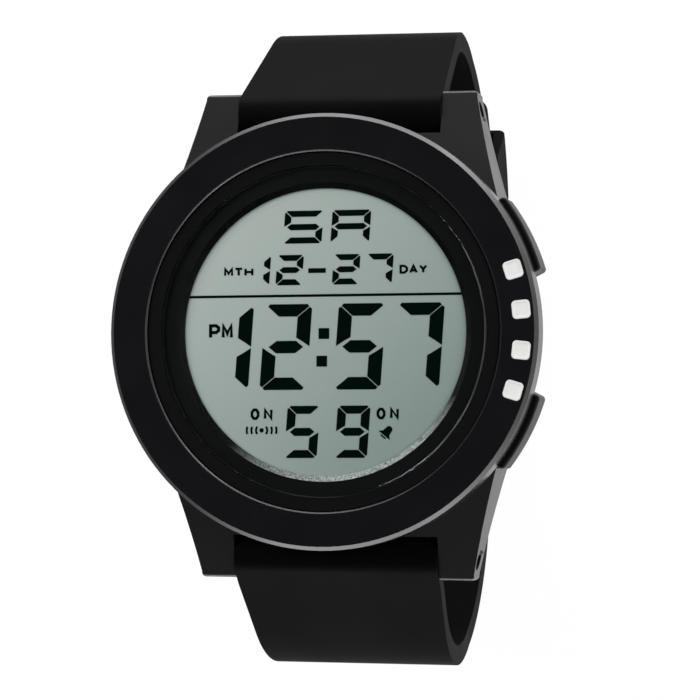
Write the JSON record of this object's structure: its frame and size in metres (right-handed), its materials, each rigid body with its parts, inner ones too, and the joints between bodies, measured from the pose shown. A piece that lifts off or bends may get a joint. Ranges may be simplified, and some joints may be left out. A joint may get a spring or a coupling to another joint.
{
  "type": "digital watch",
  "caption": "Round digital wristwatch with a broad black bezel, LCD dial and buckled resin strap, lying face up",
  "frame": {"origin": "on the floor, under the middle of the buckled strap loop that the watch stands on", "axes": "+Z out of the dial, +Y towards 12 o'clock, +X towards 3 o'clock"},
  "size_m": [0.05, 0.0776, 0.059],
  "materials": {
    "bezel_resin": "fine satin black moulded resin",
    "marker_white": "glossy white inlay",
    "crystal_clear": "clear polished acrylic",
    "gasket_black": "black nitrile",
    "dial_black": "black with a frosted silver bevel",
    "case_resin": "satin black moulded resin",
    "lcd_glass": "grey-green polarised display glass",
    "guide_clear": "milky light guide",
    "led_white": "yellow-white LED body",
    "module_plastic": "natural grey module moulding",
    "strip_rubber": "striped conductive elastomer",
    "board_green": "green circuit board",
    "chip_epoxy": "black epoxy blob",
    "can_metal": "tinned can",
    "spring_steel": "spring steel",
    "pin_steel": "stainless steel",
    "cell_steel": "nickelled cell can",
    "sounder_brass": "brass sounder disc",
    "back_steel": "brushed stainless steel",
    "screw_steel": "stainless steel screw",
    "pusher_resin": "satin black moulded resin",
    "strap_resin": "matte black soft polyurethane",
    "buckle_steel": "black coated steel"
  },
  "bodies": {
    "watch": {"bezel_ring": "bezel_resin", "bezel_markers": "marker_white", "crystal": "crystal_clear", "crystal_gasket": "gasket_black", "dial_ring": "dial_black", "case_body": "case_resin", "lcd_front_glass": "lcd_glass", "lcd_rear_glass": "lcd_glass", "light_guide": "guide_clear", "backlight_leds": "led_white", "module_frame": "module_plastic", "contact_strips": "strip_rubber", "circuit_board": "board_green", "chip_cover": "chip_epoxy", "quartz_can": "can_metal", "pusher_contacts": "spring_steel", "battery_carrier": "module_plastic", "battery": "cell_steel", "battery_leaf": "spring_steel", "battery_clamp": "spring_steel", "module_screws": "screw_steel", "sounder_disc": "sounder_brass", "sounder_spring": "spring_steel", "back_gasket": "gasket_black", "case_back": "back_steel", "back_screws": "screw_steel", "pusher_seals": "gasket_black", "bar_tube_upper": "pin_steel", "bar_tube_lower": "pin_steel", "bar_spring_upper": "spring_steel", "bar_spring_lower": "spring_steel", "strap_upper": "strap_resin", "strap_lower": "strap_resin", "fixed_keeper": "strap_resin", "pusher_spring_two": "spring_steel", "pusher_spring_ten": "spring_steel", "pusher_spring_eight": "spring_steel", "pusher_spring_four": "spring_steel"},
    "pusher_two": {"pusher_cap_two": "pusher_resin", "pusher_stem_two": "pin_steel", "pusher_clip_two": "spring_steel"},
    "pusher_ten": {"pusher_cap_ten": "pusher_resin", "pusher_stem_ten": "pin_steel", "pusher_clip_ten": "spring_steel"},
    "pusher_eight": {"pusher_cap_eight": "pusher_resin", "pusher_stem_eight": "pin_steel", "pusher_clip_eight": "spring_steel"},
    "pusher_four": {"pusher_cap_four": "pusher_resin", "pusher_stem_four": "pin_steel", "pusher_clip_four": "spring_steel"},
    "bar_tip_upper_right": {"bar_tip_upper_right": "pin_steel"},
    "bar_tip_upper_left": {"bar_tip_upper_left": "pin_steel"},
    "bar_tip_lower_right": {"bar_tip_lower_right": "pin_steel"},
    "bar_tip_lower_left": {"bar_tip_lower_left": "pin_steel"},
    "sliding_keeper": {"sliding_keeper": "strap_resin"},
    "buckle": {"buckle_frame": "buckle_steel", "buckle_pin": "pin_steel"},
    "tongue": {"buckle_tongue": "buckle_steel"}
  },
  "joints": [
    {"name": "pusher_two_press", "type": "slide", "parent": "watch", "child": "pusher_two", "axis": [-0.891, -0.454, 0], "range_m": [0, 0.0006], "stiffness_N_per_m": 1500, "springref_m": -0.0007, "deforming": ["pusher_spring_two"]},
    {"name": "pusher_ten_press", "type": "slide", "parent": "watch", "child": "pusher_ten", "axis": [0.891, -0.454, 0], "range_m": [0, 0.0006], "stiffness_N_per_m": 1500, "springref_m": -0.0007, "deforming": ["pusher_spring_ten"]},
    {"name": "pusher_eight_press", "type": "slide", "parent": "watch", "child": "pusher_eight", "axis": [0.891, 0.454, 0], "range_m": [0, 0.0006], "stiffness_N_per_m": 1500, "springref_m": -0.0007, "deforming": ["pusher_spring_eight"]},
    {"name": "pusher_four_press", "type": "slide", "parent": "watch", "child": "pusher_four", "axis": [-0.891, 0.454, 0], "range_m": [0, 0.0006], "stiffness_N_per_m": 1500, "springref_m": -0.0007, "deforming": ["pusher_spring_four"]},
    {"name": "bar_tip_upper_right_press", "type": "slide", "parent": "watch", "child": "bar_tip_upper_right", "axis": [-1, 0, 0], "range_m": [0, 0.0019], "stiffness_N_per_m": 700, "springref_m": -0.001, "deforming": ["bar_spring_upper"]},
    {"name": "bar_tip_upper_left_press", "type": "slide", "parent": "watch", "child": "bar_tip_upper_left", "axis": [1, 0, 0], "range_m": [0, 0.0019], "stiffness_N_per_m": 700, "springref_m": -0.001, "deforming": ["bar_spring_upper"]},
    {"name": "bar_tip_lower_right_press", "type": "slide", "parent": "watch", "child": "bar_tip_lower_right", "axis": [-1, 0, 0], "range_m": [0, 0.0019], "stiffness_N_per_m": 700, "springref_m": -0.001, "deforming": ["bar_spring_lower"]},
    {"name": "bar_tip_lower_left_press", "type": "slide", "parent": "watch", "child": "bar_tip_lower_left", "axis": [1, 0, 0], "range_m": [0, 0.0019], "stiffness_N_per_m": 700, "springref_m": -0.001, "deforming": ["bar_spring_lower"]},
    {"name": "keeper_slide_round_bend", "type": "hinge", "parent": "watch", "child": "sliding_keeper", "pos_m": [0, 0.01275, 0.0302], "axis": [1, 0, 0], "range_deg": [-13, 25]},
    {"name": "buckle_pivot", "type": "hinge", "parent": "watch", "child": "buckle", "pos_m": [0, 0.00175, 0.0061], "axis": [1, 0, 0], "range_deg": [0, 8]},
    {"name": "tongue_pivot", "type": "hinge", "parent": "buckle", "child": "tongue", "pos_m": [0, 0.00175, 0.0061], "axis": [1, 0, 0], "range_deg": [0, 10]}
  ]
}
